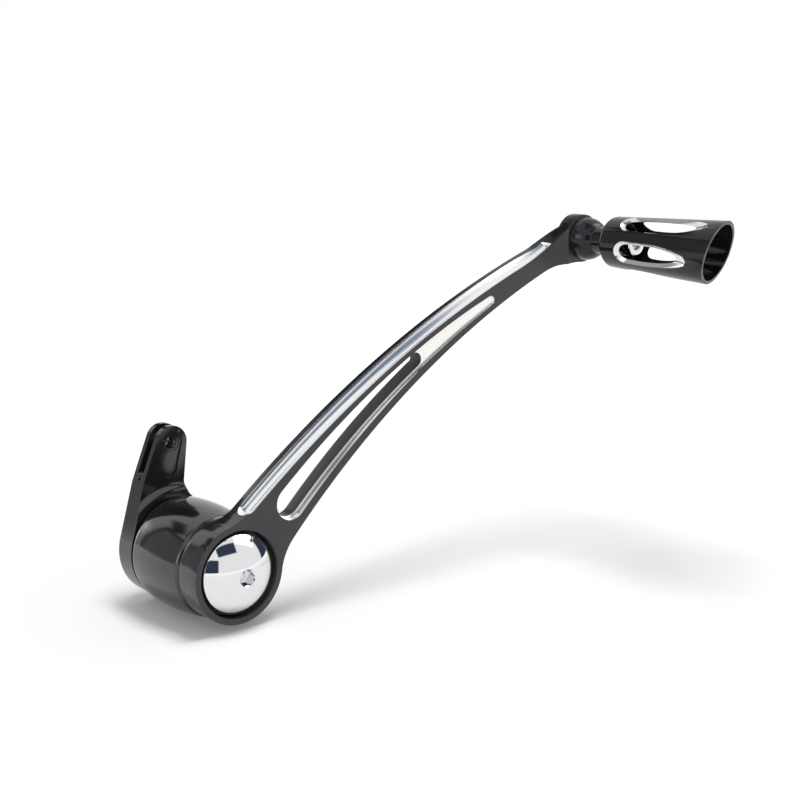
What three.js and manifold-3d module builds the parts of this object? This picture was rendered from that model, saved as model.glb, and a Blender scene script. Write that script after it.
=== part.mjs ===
// Foot control lever: a curved arm on a pivot barrel, with a clevis lever at
// the inboard end and a slotted toe peg on a ball-shaped standoff.
// Millimetres, +Z up, +X towards the toe peg, -Y outboard.
// The origin is the centre of the pivot shaft's inboard mounting face.
import * as THREE from "three";
import { mergeVertices } from "three/addons/utils/BufferGeometryUtils.js";
import Module from "manifold-3d";

const wasm = await Module();
wasm.setup();

// ---------------------------------------------------------------- dimensions
const GAP = 0.3; // between touching pieces of one body
const FIT = 0.1; // radial running clearance of the shaft and the peg screw
const DEG = Math.PI / 180;
const FINE = 48; // facets of a large circle
const COARSE = 20; // facets of a small circle

// Stack along the pivot axis, from the mounting face outboard.
const FLANGE_THICKNESS = 4.9;
const THRUST_WASHER = 1.5;
const CLEVIS_THICKNESS = 12.7;
const BARREL_LENGTH = 43.7;
const RING_THICKNESS = 16;
const FLANGE_FACE = -FLANGE_THICKNESS;
const CLEVIS_BACK = FLANGE_FACE - GAP - THRUST_WASHER - GAP;
const CLEVIS_FRONT = CLEVIS_BACK - CLEVIS_THICKNESS;
const BARREL_BACK = CLEVIS_FRONT - GAP;
const BARREL_FRONT = BARREL_BACK - BARREL_LENGTH;
const RING_BACK = BARREL_FRONT - GAP;
const FACE = RING_BACK - RING_THICKNESS; // outboard face of the ring and arm

// Pivot shaft, bushes and seals.
const SHAFT_RADIUS = 9.5;
const SHAFT_BORE = 6.3;
const FLANGE_RADIUS = 16;
const BUSH_OUTER = 12.5;
const BUSH_LENGTH = 16;
const SEAL_CORD = 1.2;
const WASHER_RADIUS = 15;
const HUB_HOLE = 10.2; // clearance round the shaft in the arm and the clevis

// Barrel: crowned, and a little slimmer at the outboard end.
const BARREL_RADIUS_INBOARD = 28.4;
const BARREL_RADIUS_OUTBOARD = 27;
const BARREL_CROWN = 1.8;
const ROUND_OUTBOARD = { along: 2.4, inward: 2.4 }; // of the outer edges
const ROUND_INBOARD = { along: 5.5, inward: 2.8 };
const BARREL_BORE = BUSH_OUTER + 0.15;
const GREASE_RADIUS = 14;

// Arm, ring and boss.
const ARM_THICKNESS = 14;
const RING = { x: 0, z: 0, r: 26.4 };
const BOSS = { x: 239.9, z: 155, r: 13.8 };
const BOSS_PROUD = 6; // the arm's end sweeps this far outboard
const BOSS_BACK = 2; // the boss's back, inboard of the arm's face
const SWEEP_FRONT = 214; // where the front starts to sweep
const SWEEP_BACK = 214; // and the back
const SWEEP_END = 228;
const TOP_EDGE = { x: 428.3, z: -472.3, r: 657.2 };
const BOTTOM_EDGE = { x: 406.1, z: -336.9, r: 510.7 };
const RING_TOP_FILLET = 34;
const RING_BOTTOM_FILLET = 30;
const BOSS_TOP_FILLET = 28;
const BOSS_BOTTOM_FILLET = 45;
const RECESS_RADIUS = 23.2;
const RECESS_DEPTH = 8.8;

// Flute along the arm's top edge, cut by a ball-ended tool.
const FLUTE_RADIUS = 6.5;
const FLUTE_AXIS_DEPTH = 4.35; // from the outboard face
const FLUTE_AXIS_HEIGHT = 3.2; // above the top edge
const FLUTE_START = 129.7 * DEG; // angle on the top edge's circle
const FLUTE_END = 108.4 * DEG;
const FLUTE_RUNOUT = 28; // length over which the tool leaves the metal

// Pocket in the outboard face, and the slot through it.
const POCKET_TOP = { x: 350.9, z: -332.2, r: 492.7 };
const POCKET_BOTTOM = { x: 393.1, z: -327.2, r: 499.4 };
const POCKET_HEEL = 9.25;
const POCKET_TIP = 2.85;
const POCKET_DEPTH_HEEL = 4.6;
const POCKET_DEPTH_TIP = 0.9;
const SLOT_TOP = { x: 349.2, z: -332.2, r: 490.8 };
const SLOT_BOTTOM = { x: 394.8, z: -327.2, r: 501.5 };
const SLOT_HEEL = 8.4;
const SLOT_TIP = 4.15;
const BACK_RELIEF = 2.6; // depth of the recess round the slot, in the arm's back

// Cap screw.
const CAP_RADIUS = 21.3;
const CAP_SHOULDER = 1.4; // rounding between the dome and the skirt
const CAP_SUNK = 0.8; // dome's rim below the ring's face
const CAP_RISE = 8.6; // dome height above the rim
const CAP_SKIRT = 4.7;
const CAP_STEM = 6;
const CAP_STEM_LENGTH = 25;
const CAP_HEX = 8;
const CAP_HEX_DEPTH = 6;
const CAP_COUNTERSINK = 5.1; // radius of the round chamfer at the socket's mouth

// Clevis lever.
const HUB = { x: 0, z: 0, r: 28 };
const EAR = { x: -0.3, z: 57.4, r: 9.2 };
const EAR_THICKNESS = 3.2;
const EAR_SET_BACK = 1.2; // outboard ear face behind the hub's face
const EAR_STEP_INNER = 30.5;
const EAR_STEP_OUTER = 36;
const CLEVIS_KNEE = { x: -18.4, z: 37.5 };
const CLEVIS_WAIST = 6.4;
const CLEVIS_FILLET = 14;
const CLEVIS_SLOT_FLOOR = 41;
const CLEVIS_PIN_RADIUS = 3.25;
const EAR_POCKET = { half: 6.4, depth: 0.8, drop: 12 };

// Screws and dowels on one circle round the pivot.
const SCREW_CIRCLE = 19.5;
const SCREW_ANGLES = [45, 135, 225, 315];
const SCREW_SHANK = 2.5;
const SCREW_HEAD = 4.25;
const SCREW_HEAD_HEIGHT = 5;
const SCREW_HEX = 4;
const SCREW_HOLE = SCREW_SHANK + 0.3;
const SCREW_BITE = 6; // thread length in the arm
const DOWEL_RADIUS = 2;
const DOWEL_HOLE = DOWEL_RADIUS + 0.15;
const DOWEL_ANGLES = [0, 180];
const DOWEL_HALF = 5.5;

// Toe peg and its standoff, along the peg axis from the arm's face outboard.
const BALL_RADIUS = 12.3;
const BALL_CENTRE = 9.5;
const NECK_RADIUS = 7.7;
const PEG_BASE = 30.8;
const PEG_LENGTH = 73.6;
const PEG_BASE_RADIUS = 14.5;
const PEG_END_RADIUS = 17.5;
const PEG_WALL = 2;
const PEG_FLOOR = 6.5;
const PEG_EDGE = 2.6;
const PEG_SLANT = 7.5; // the oblique end runs this far either way
const PEG_SLANT_ANGLE = 130 * DEG; // direction of the long side, from +X to +Z
const PEG_SLOTS = 5;
const PEG_SLOT_ANGLE = 122 * DEG; // direction of the first slot
const PEG_SLOT_START = 20; // centre of the slots' round end, from the base
const PEG_SLOT_MEAN = 37; // from there to the tip
const PEG_SLOT_VARIATION = 14.3; // longest along the long side
const SLOT_CUTTER = 10.3;
const SLOT_CUTTER_OFFSET = 21.9;
const PEG_SCREW = 4;
const PEG_SCREW_HOLE = PEG_SCREW + FIT + 0.05;
const PEG_SCREW_HEAD = 6.5;
const PEG_SCREW_HEIGHT = 8;
const PEG_SCREW_HEX = 6;
const PEG_WASHER_RADIUS = 7.5;
const PEG_WASHER = 1.4;

// ----------------------------------------------------------------- materials
const FINISHES = {
  blackSatin: { color: 0x2c292b, roughness: 0.5, metalness: 0.5 },
  blackGloss: { color: 0x141316, roughness: 0.18, metalness: 0.5 },
  chrome: { color: 0xdcdee0, roughness: 0.06, metalness: 1 },
  steel: { color: 0x9a9ca0, roughness: 0.35, metalness: 1 },
  bronze: { color: 0xb08a4a, roughness: 0.4, metalness: 1 },
  rubber: { color: 0x1a1a1a, roughness: 0.9, metalness: 0 },
};

// ------------------------------------------------------------ solid geometry
function toSolid(geometry) {
  const bare = geometry.index ? geometry.toNonIndexed() : geometry.clone();
  bare.deleteAttribute("normal");
  bare.deleteAttribute("uv");
  const merged = mergeVertices(bare, 1e-4);
  const index = merged.index.array;
  const triangles = [];
  for (let i = 0; i < index.length; i += 3) {
    const [a, b, c] = [index[i], index[i + 1], index[i + 2]];
    if (a !== b && b !== c && c !== a) triangles.push(a, b, c);
  }
  return new wasm.Manifold(new wasm.Mesh({
    numProp: 3,
    vertProperties: new Float32Array(merged.attributes.position.array),
    triVerts: new Uint32Array(triangles),
  }));
}

function toGeometry(solid) {
  const mesh = solid.getMesh();
  const geometry = new THREE.BufferGeometry();
  geometry.setAttribute("position", new THREE.BufferAttribute(mesh.vertProperties, 3));
  geometry.setIndex(new THREE.BufferAttribute(mesh.triVerts, 1));
  geometry.computeVertexNormals();
  return geometry;
}

// A solid of revolution about Y. The profile is [radius, y] pairs, and runs
// up the outside and down the inside or the axis.
function turned(profile, facets = FINE) {
  const points = profile.map(([r, y]) => new THREE.Vector2(r, y));
  return toSolid(new THREE.LatheGeometry(points, facets));
}

// A cylinder or tube about Y between two y values, in either order.
function rod(radius, yA, yB, facets = FINE) {
  const [low, high] = [Math.min(yA, yB), Math.max(yA, yB)];
  return turned([[0, low], [radius, low], [radius, high], [0, high]], facets);
}

function tube(inner, outer, yA, yB, facets = FINE) {
  const [low, high] = [Math.min(yA, yB), Math.max(yA, yB)];
  return turned([[inner, low], [outer, low], [outer, high], [inner, high], [inner, low]], facets);
}

// A hexagonal socket cutter about Y, sized across its flats.
function hexagon(acrossFlats, yA, yB) {
  const radius = acrossFlats / 2 / Math.cos(30 * DEG);
  return rod(radius, yA, yB, 6);
}

// An outline in X and Z, extruded along Y.
function plate(shape, yA, yB, curveSegments = 24) {
  const [low, high] = [Math.min(yA, yB), Math.max(yA, yB)];
  const settings = { depth: high - low, bevelEnabled: false, curveSegments };
  const geometry = new THREE.ExtrudeGeometry(shape, settings);
  geometry.rotateX(90 * DEG);
  geometry.translate(0, high, 0);
  return toSolid(geometry);
}

// Points on a circle about the pivot axis.
function onCircle(angles, radius) {
  return angles.map((angle) => [radius * Math.cos(angle * DEG), radius * Math.sin(angle * DEG)]);
}

function subtractAll(solid, cutters) {
  return cutters.reduce((body, cutter) => body.subtract(cutter), solid);
}

// ------------------------------------------------------------ outline helpers
// The centre of a circle of the given distances from two other centres; side
// is +1 for the one on the left of the line from the first to the second.
function meeting(first, firstDistance, second, secondDistance, side) {
  const [dx, dz] = [second.x - first.x, second.z - first.z];
  const span = Math.hypot(dx, dz);
  const along = (firstDistance ** 2 - secondDistance ** 2 + span ** 2) / (2 * span);
  const across = side * Math.sqrt(firstDistance ** 2 - along ** 2);
  return {
    x: first.x + (along * dx - across * dz) / span,
    z: first.z + (along * dz + across * dx) / span,
  };
}

function heading(from, to) {
  return Math.atan2(to.z - from.z, to.x - from.x);
}

function arc(shape, circle, start, end, clockwise) {
  shape.absarc(circle.x, circle.z, circle.r, start, end, clockwise);
}

// A long curved outline between two big arcs, with a round at each end. The
// first arc bounds it above and the second below.
function crescent(top, bottom, heelRadius, tipRadius) {
  const round = (r) => ({ ...meeting(bottom, bottom.r + r, top, top.r - r, -1), r });
  const [heel, tip] = [round(heelRadius), round(tipRadius)];
  const shape = new THREE.Shape();
  arc(shape, bottom, heading(bottom, heel), heading(bottom, tip), true);
  arc(shape, tip, heading(tip, bottom), heading(top, tip), false);
  arc(shape, top, heading(top, tip), heading(top, heel), false);
  arc(shape, heel, heading(top, heel), heading(heel, bottom), false);
  return { shape, heel, tip };
}

// ---------------------------------------------------------------- pivot shaft
function pivotShaft() {
  const end = FACE + RECESS_DEPTH - 3;
  return turned([
    [SHAFT_BORE, end], [SHAFT_RADIUS, end], [SHAFT_RADIUS, FLANGE_FACE],
    [FLANGE_RADIUS, FLANGE_FACE], [FLANGE_RADIUS, 0], [SHAFT_BORE, 0], [SHAFT_BORE, end],
  ]);
}

function capScrew() {
  const rim = FACE + CAP_SUNK;
  const back = rim + CAP_SKIRT;
  const domeRim = CAP_RADIUS - CAP_SHOULDER;
  const domeRadius = (domeRim ** 2 + CAP_RISE ** 2) / (2 * CAP_RISE);
  const domeCentre = rim - CAP_RISE + domeRadius;
  const domeAngle = Math.asin(domeRim / domeRadius);
  const steps = 7;
  const dome = [];
  for (let i = 0; i <= steps; i += 1) {
    const angle = (domeAngle * i) / steps;
    dome.push([domeRadius * Math.sin(angle), domeCentre - domeRadius * Math.cos(angle)]);
  }
  const shoulder = [
    [CAP_RADIUS - 0.4 * CAP_SHOULDER, rim + 0.6 * CAP_SHOULDER],
    [CAP_RADIUS, rim + 1.6 * CAP_SHOULDER],
  ];
  const stemEnd = back + CAP_STEM_LENGTH;
  const stem = [[CAP_RADIUS, back], [CAP_STEM, back], [CAP_STEM, stemEnd], [0, stemEnd]];
  const top = rim - CAP_RISE;
  const mouth = turned([[0, top - 1], [CAP_COUNTERSINK + 1, top - 1], [0, top + CAP_COUNTERSINK]], 24);
  return turned([...dome, ...shoulder, ...stem])
    .subtract(hexagon(CAP_HEX, top - 1, top + CAP_HEX_DEPTH))
    .subtract(mouth);
}

// A spring washer: a flat ring bent into three waves.
function waveWasher(yLow, thickness, amplitude) {
  const ring = [[9.8, 0], [WASHER_RADIUS, 0], [WASHER_RADIUS, thickness], [9.8, thickness], [9.8, 0]];
  const points = ring.map(([r, y]) => new THREE.Vector2(r, y));
  const geometry = new THREE.LatheGeometry(points, 36);
  const place = geometry.attributes.position;
  for (let i = 0; i < place.count; i += 1) {
    const angle = Math.atan2(place.getZ(i), place.getX(i));
    place.setY(i, place.getY(i) + yLow + amplitude * (1 + Math.cos(3 * angle)));
  }
  return toSolid(geometry);
}

// An O-ring about the pivot axis.
function seal(yCentre) {
  const geometry = new THREE.TorusGeometry(11, SEAL_CORD, 8, 24);
  geometry.rotateX(90 * DEG);
  geometry.translate(0, yCentre, 0);
  return toSolid(geometry);
}

// ------------------------------------------------------------------ arm body
// The outline runs anticlockwise: under the arm to the boss, and back over it.
function armOutline() {
  const shape = new THREE.Shape();
  const fillet = (big, bigDistance, small, r, side) => ({
    ...meeting(big, bigDistance, small, small.r + r, side), r,
  });
  const ringBottom = fillet(BOTTOM_EDGE, BOTTOM_EDGE.r - RING_BOTTOM_FILLET, RING, RING_BOTTOM_FILLET, -1);
  const bossBottom = fillet(BOTTOM_EDGE, BOTTOM_EDGE.r - BOSS_BOTTOM_FILLET, BOSS, BOSS_BOTTOM_FILLET, 1);
  const bossTop = fillet(TOP_EDGE, TOP_EDGE.r + BOSS_TOP_FILLET, BOSS, BOSS_TOP_FILLET, 1);
  const ringTop = fillet(TOP_EDGE, TOP_EDGE.r + RING_TOP_FILLET, RING, RING_TOP_FILLET, -1);
  arc(shape, ringBottom, heading(ringBottom, RING), heading(BOTTOM_EDGE, ringBottom), true);
  arc(shape, BOTTOM_EDGE, heading(BOTTOM_EDGE, ringBottom), heading(BOTTOM_EDGE, bossBottom), true);
  arc(shape, bossBottom, heading(BOTTOM_EDGE, bossBottom), heading(bossBottom, BOSS), true);
  arc(shape, BOSS, heading(BOSS, bossBottom), heading(BOSS, bossTop), false);
  arc(shape, bossTop, heading(bossTop, BOSS), heading(bossTop, TOP_EDGE), true);
  arc(shape, TOP_EDGE, heading(TOP_EDGE, bossTop), heading(TOP_EDGE, ringTop), false);
  arc(shape, ringTop, heading(ringTop, TOP_EDGE), heading(ringTop, RING), true);
  arc(shape, RING, heading(RING, ringTop), heading(RING, ringBottom), false);
  return shape;
}

// A round tool path along the top edge: a capsule bent onto the edge's circle,
// which climbs out of the metal over the last stretch.
function fluteCutter() {
  const length = (FLUTE_START - FLUTE_END) * TOP_EDGE.r;
  const profile = [];
  for (let i = -6; i <= 0; i += 1) {
    const angle = i * 15 * DEG;
    profile.push([FLUTE_RADIUS * Math.cos(angle), FLUTE_RADIUS * Math.sin(angle)]);
  }
  const rows = 16;
  for (let i = 1; i <= rows; i += 1) profile.push([FLUTE_RADIUS, (length * i) / rows]);
  profile.push([0, length]);
  profile[0][0] = 0;
  const points = profile.map(([r, s]) => new THREE.Vector2(r, s));
  const geometry = new THREE.LatheGeometry(points, COARSE);
  const place = geometry.attributes.position;
  for (let i = 0; i < place.count; i += 1) {
    const [across, along, up] = [place.getX(i), place.getY(i), -place.getZ(i)];
    const runout = Math.max(0, along - length + FLUTE_RUNOUT) / FLUTE_RUNOUT;
    const lift = FLUTE_AXIS_HEIGHT + (FLUTE_RADIUS - FLUTE_AXIS_HEIGHT) * runout ** 2;
    const angle = FLUTE_START - along / TOP_EDGE.r;
    const radius = TOP_EDGE.r + lift + up;
    place.setXYZ(
      i,
      TOP_EDGE.x + radius * Math.cos(angle),
      FACE + FLUTE_AXIS_DEPTH + across,
      TOP_EDGE.z + radius * Math.sin(angle),
    );
  }
  return toSolid(geometry);
}

// The pocket's floor is one plane that climbs from the heel to the tip.
function pocketCutter() {
  const { shape, heel, tip } = crescent(POCKET_TOP, POCKET_BOTTOM, POCKET_HEEL, POCKET_TIP);
  const settings = { depth: 1, bevelEnabled: false, curveSegments: 14 };
  const geometry = new THREE.ExtrudeGeometry(shape, settings);
  geometry.rotateX(90 * DEG);
  const place = geometry.attributes.position;
  const [runX, runZ] = [tip.x - heel.x, tip.z - heel.z];
  const run = runX ** 2 + runZ ** 2;
  for (let i = 0; i < place.count; i += 1) {
    const [x, z] = [place.getX(i), place.getZ(i)];
    const part = ((x - heel.x) * runX + (z - heel.z) * runZ) / run;
    const floor = POCKET_DEPTH_HEEL + (POCKET_DEPTH_TIP - POCKET_DEPTH_HEEL) * part;
    place.setY(i, place.getY(i) < -0.5 ? FACE - 1 : FACE + floor);
  }
  return toSolid(geometry);
}

function slotCutter() {
  const { shape } = crescent(SLOT_TOP, SLOT_BOTTOM, SLOT_HEEL, SLOT_TIP);
  return plate(shape, FACE - 1, FACE + ARM_THICKNESS + 1, 12);
}

// The arm from above: a straight bar whose end sweeps outboard to the boss.
function sideProfile() {
  const [behind, beyond, height] = [-40, 270, 400];
  const sweep = (start, yStart, yEnd) => {
    const span = SWEEP_END - start;
    const leaving = [start + 0.55 * span, yStart];
    const arriving = [start + 0.85 * span, yStart + 0.4 * (yEnd - yStart)];
    return [...leaving, ...arriving, SWEEP_END, yEnd];
  };
  const shape = new THREE.Shape();
  shape.moveTo(behind, 0);
  shape.lineTo(SWEEP_FRONT, 0);
  shape.bezierCurveTo(...sweep(SWEEP_FRONT, 0, -BOSS_PROUD));
  shape.lineTo(beyond, -BOSS_PROUD);
  shape.lineTo(beyond, BOSS_BACK);
  shape.lineTo(SWEEP_END, BOSS_BACK);
  const [x2, y2, x1, y1] = sweep(SWEEP_BACK, ARM_THICKNESS, BOSS_BACK);
  shape.bezierCurveTo(x1, y1, x2, y2, SWEEP_BACK, ARM_THICKNESS);
  shape.lineTo(behind, ARM_THICKNESS);
  const settings = { depth: height, bevelEnabled: false, curveSegments: 8 };
  const geometry = new THREE.ExtrudeGeometry(shape, settings);
  geometry.translate(0, FACE, -height / 2);
  return toSolid(geometry);
}

function backReliefCutter() {
  const { shape } = crescent(POCKET_TOP, POCKET_BOTTOM, POCKET_HEEL, POCKET_TIP);
  return plate(shape, FACE + ARM_THICKNESS - BACK_RELIEF, FACE + ARM_THICKNESS + 1, 10);
}

function arm() {
  const body = plate(armOutline(), FACE - BOSS_PROUD - 1, FACE + ARM_THICKNESS + 1, 16)
    .intersect(sideProfile())
    .add(rod(RING.r, FACE, RING_BACK));
  const floor = FACE + RECESS_DEPTH;
  const hubCutters = [
    rod(RECESS_RADIUS, FACE - 1, floor),
    rod(HUB_HOLE, floor - 1, RING_BACK + 1, COARSE),
    ...boltHoles(SCREW_HOLE, SCREW_ANGLES, RING_BACK - SCREW_BITE - GAP, RING_BACK + 1),
    ...boltHoles(DOWEL_HOLE, DOWEL_ANGLES, RING_BACK - DOWEL_HALF - GAP, RING_BACK + 1),
  ];
  const bossHole = rod(PEG_SCREW_HOLE, FACE - BOSS_PROUD - 1, FACE + BOSS_BACK + 1, COARSE)
    .translate([BOSS.x, 0, BOSS.z]);
  const lengthwise = [fluteCutter(), pocketCutter(), slotCutter(), backReliefCutter()];
  return subtractAll(body, [...hubCutters, bossHole, ...lengthwise]);
}

// -------------------------------------------------------------------- barrel
function boltHoles(radius, angles, yA, yB) {
  return onCircle(angles, SCREW_CIRCLE).map(([x, z]) => rod(radius, yA, yB, 16).translate([x, 0, z]));
}

// The outer radius, a parabola along the axis.
function barrelRadius(y) {
  const part = (y - BARREL_FRONT) / BARREL_LENGTH;
  const slope = BARREL_RADIUS_INBOARD - BARREL_RADIUS_OUTBOARD;
  return BARREL_RADIUS_OUTBOARD + slope * part + 4 * BARREL_CROWN * part * (1 - part);
}

function barrel() {
  const seat = SEAL_CORD * 2 + GAP * 2 + BUSH_LENGTH + GAP;
  const first = BARREL_FRONT + ROUND_OUTBOARD.along;
  const last = BARREL_BACK - ROUND_INBOARD.along;
  const roundedEdge = (start, end, depth) => [0, 22.5, 45, 67.5].map((turn) => {
    const inset = depth * (1 - Math.sin(turn * DEG));
    return [barrelRadius(end) - inset, start + (end - start) * (1 - Math.cos(turn * DEG))];
  });
  const steps = 8;
  const crown = [];
  for (let i = 0; i <= steps; i += 1) {
    const y = first + ((last - first) * i) / steps;
    crown.push([barrelRadius(y), y]);
  }
  const body = turned([
    [BARREL_BORE, BARREL_FRONT],
    ...roundedEdge(BARREL_FRONT, first, ROUND_OUTBOARD.inward),
    ...crown,
    ...roundedEdge(BARREL_BACK, last, ROUND_INBOARD.inward).reverse(),
    [BARREL_BORE, BARREL_BACK], [BARREL_BORE, BARREL_BACK - seat],
    [GREASE_RADIUS, BARREL_BACK - seat - 1], [GREASE_RADIUS, BARREL_FRONT + seat + 1],
    [BARREL_BORE, BARREL_FRONT + seat], [BARREL_BORE, BARREL_FRONT],
  ]);
  return subtractAll(body, [
    ...boltHoles(SCREW_HOLE, SCREW_ANGLES, BARREL_FRONT - 1, BARREL_BACK + 1),
    ...boltHoles(DOWEL_HOLE, DOWEL_ANGLES, BARREL_FRONT - 1, BARREL_FRONT + DOWEL_HALF + GAP),
    ...boltHoles(DOWEL_HOLE, DOWEL_ANGLES, BARREL_BACK - DOWEL_HALF - GAP, BARREL_BACK + 1),
  ]);
}

// -------------------------------------------------------------- clevis lever
function clevisOutline() {
  const shape = new THREE.Shape();
  const waistX = CLEVIS_WAIST + CLEVIS_FILLET;
  const waistZ = Math.sqrt((HUB.r + CLEVIS_FILLET) ** 2 - waistX ** 2);
  const waist = { x: waistX, z: waistZ, r: CLEVIS_FILLET };
  const kneeSpan = Math.hypot(EAR.x - CLEVIS_KNEE.x, EAR.z - CLEVIS_KNEE.z);
  const kneeTurn = Math.acos(EAR.r / kneeSpan);
  const earLeft = heading(EAR, CLEVIS_KNEE) - kneeTurn;
  const hubSpan = Math.hypot(CLEVIS_KNEE.x, CLEVIS_KNEE.z);
  const hubLeft = heading(HUB, CLEVIS_KNEE) + Math.acos(HUB.r / hubSpan);
  arc(shape, HUB, hubLeft, heading(HUB, waist) + 360 * DEG, false);
  arc(shape, waist, heading(waist, HUB), -180 * DEG, true);
  arc(shape, EAR, 0, earLeft, false);
  shape.lineTo(CLEVIS_KNEE.x, CLEVIS_KNEE.z);
  return shape;
}

// The ears' outboard face sits behind the hub's, with a sloping step between.
function earStepCutter() {
  const [near, far] = [CLEVIS_FRONT - 1, CLEVIS_FRONT + EAR_SET_BACK];
  return turned([
    [EAR_STEP_INNER, near], [90, near], [90, far], [EAR_STEP_OUTER, far],
    [EAR_STEP_INNER, CLEVIS_FRONT], [EAR_STEP_INNER, near],
  ]);
}

// The gap between the ears has a round floor.
function clevisSlotCutter() {
  const low = CLEVIS_FRONT + EAR_SET_BACK + EAR_THICKNESS;
  const high = CLEVIS_BACK - EAR_THICKNESS;
  const half = (high - low) / 2;
  const shape = new THREE.Shape();
  shape.absarc(0, CLEVIS_SLOT_FLOOR + half, half, -180 * DEG, 0, false);
  shape.lineTo(half, 90);
  shape.lineTo(-half, 90);
  const settings = { depth: 80, bevelEnabled: false, curveSegments: 10 };
  const geometry = new THREE.ExtrudeGeometry(shape, settings);
  geometry.rotateX(90 * DEG);
  geometry.rotateZ(90 * DEG);
  geometry.translate(-40, (low + high) / 2, 0);
  return toSolid(geometry);
}

// A shallow round-ended recess in the outboard ear, round the pin hole.
function earPocketCutter() {
  const shape = new THREE.Shape();
  const { half, drop, depth } = EAR_POCKET;
  shape.absarc(EAR.x, EAR.z, half, 0, 180 * DEG, false);
  shape.absarc(EAR.x - 0.26 * drop, EAR.z - drop, half, 180 * DEG, 360 * DEG, false);
  const face = CLEVIS_FRONT + EAR_SET_BACK;
  return plate(shape, face - 2, face + depth, 12);
}

function clevisLever() {
  const headSeat = CLEVIS_BACK - SCREW_HEAD_HEIGHT - 0.5;
  const pinHole = rod(CLEVIS_PIN_RADIUS, CLEVIS_FRONT - 1, CLEVIS_BACK + 1, 24);
  return subtractAll(plate(clevisOutline(), CLEVIS_FRONT, CLEVIS_BACK, 24), [
    earStepCutter(),
    clevisSlotCutter(),
    earPocketCutter(),
    pinHole.translate([EAR.x, 0, EAR.z]),
    rod(HUB_HOLE, CLEVIS_FRONT - 1, CLEVIS_BACK + 1, COARSE),
    ...boltHoles(SCREW_HOLE, SCREW_ANGLES, CLEVIS_FRONT - 1, CLEVIS_BACK),
    ...boltHoles(SCREW_HEAD + GAP, SCREW_ANGLES, headSeat, CLEVIS_BACK + 1),
    ...boltHoles(DOWEL_HOLE, DOWEL_ANGLES, CLEVIS_FRONT - 1, CLEVIS_FRONT + DOWEL_HALF + GAP),
  ]);
}

// --------------------------------------------------------- screws and dowels
// A socket-head screw along -Y, its head's seat at y = 0.
function socketScrew(shank, length, head, height, hex) {
  return turned([
    [0, -length], [shank - 0.5, -length], [shank, 0.5 - length], [shank, 0],
    [head, 0], [head, height - 0.4], [head - 0.4, height], [0, height],
  ], 16).subtract(hexagon(hex, height - 0.5 * hex - 0.5, height + 1));
}

function hubScrew() {
  const seat = CLEVIS_BACK - SCREW_HEAD_HEIGHT - 0.2;
  const length = seat - (RING_BACK - SCREW_BITE);
  return socketScrew(SCREW_SHANK, length, SCREW_HEAD, SCREW_HEAD_HEIGHT, SCREW_HEX)
    .translate([0, seat, 0]);
}

function dowel(yCentre) {
  return rod(DOWEL_RADIUS, yCentre - DOWEL_HALF, yCentre + DOWEL_HALF, 16);
}

// ------------------------------------------------------------------- toe peg
// Peg pieces are made about the Y axis from the arm's face, then moved here.
const PEG_PLACE = [BOSS.x, FACE, BOSS.z];

function pegStandoff() {
  const back = -BOSS_PROUD - GAP;
  const start = Math.asin((BALL_CENTRE + back) / BALL_RADIUS);
  const end = -Math.acos(NECK_RADIUS / BALL_RADIUS);
  const steps = 8;
  const ball = [];
  for (let i = 0; i <= steps; i += 1) {
    const angle = end + ((start - end) * i) / steps;
    ball.push([BALL_RADIUS * Math.cos(angle), BALL_RADIUS * Math.sin(angle) - BALL_CENTRE]);
  }
  const front = GAP - PEG_BASE;
  return turned([
    [PEG_SCREW_HOLE, front], [NECK_RADIUS + 1, front], [NECK_RADIUS, front + 3],
    ...ball, [PEG_SCREW_HOLE, back], [PEG_SCREW_HOLE, front],
  ], 36);
}

function pegRadius(distance) {
  return PEG_BASE_RADIUS + ((PEG_END_RADIUS - PEG_BASE_RADIUS) * distance) / PEG_LENGTH;
}

// A bullet-shaped tool: round at the base end, tapering towards the open end.
function pegSlotCutter(angle, length) {
  const profile = [[0, -length - 10]];
  const tipRadius = SLOT_CUTTER_OFFSET - pegRadius(length);
  const steps = 6;
  for (let i = steps; i >= 0; i -= 1) {
    const part = i / steps;
    profile.push([SLOT_CUTTER - (SLOT_CUTTER - tipRadius) * part ** 2.5, -length * part]);
  }
  for (let i = 1; i < 4; i += 1) {
    const turn = i * 22.5 * DEG;
    profile.push([SLOT_CUTTER * Math.cos(turn), SLOT_CUTTER * Math.sin(turn)]);
  }
  profile.push([0, SLOT_CUTTER]);
  const start = -PEG_BASE - PEG_SLOT_START;
  const place = [SLOT_CUTTER_OFFSET * Math.cos(angle), start, SLOT_CUTTER_OFFSET * Math.sin(angle)];
  return turned(profile, 28).translate(place);
}

// Everything beyond the oblique end.
function pegEndCutter() {
  const size = 120;
  const geometry = new THREE.BoxGeometry(size, size, size);
  geometry.translate(0, -size / 2, 0);
  const place = geometry.attributes.position;
  const slope = PEG_SLANT / PEG_END_RADIUS;
  const end = -PEG_BASE - PEG_LENGTH;
  for (let i = 0; i < place.count; i += 1) {
    const [x, z] = [place.getX(i), place.getZ(i)];
    const along = x * Math.cos(PEG_SLANT_ANGLE) + z * Math.sin(PEG_SLANT_ANGLE);
    if (place.getY(i) > -1) place.setY(i, end - slope * along);
    else place.setY(i, end - size);
  }
  return toSolid(geometry);
}

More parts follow.
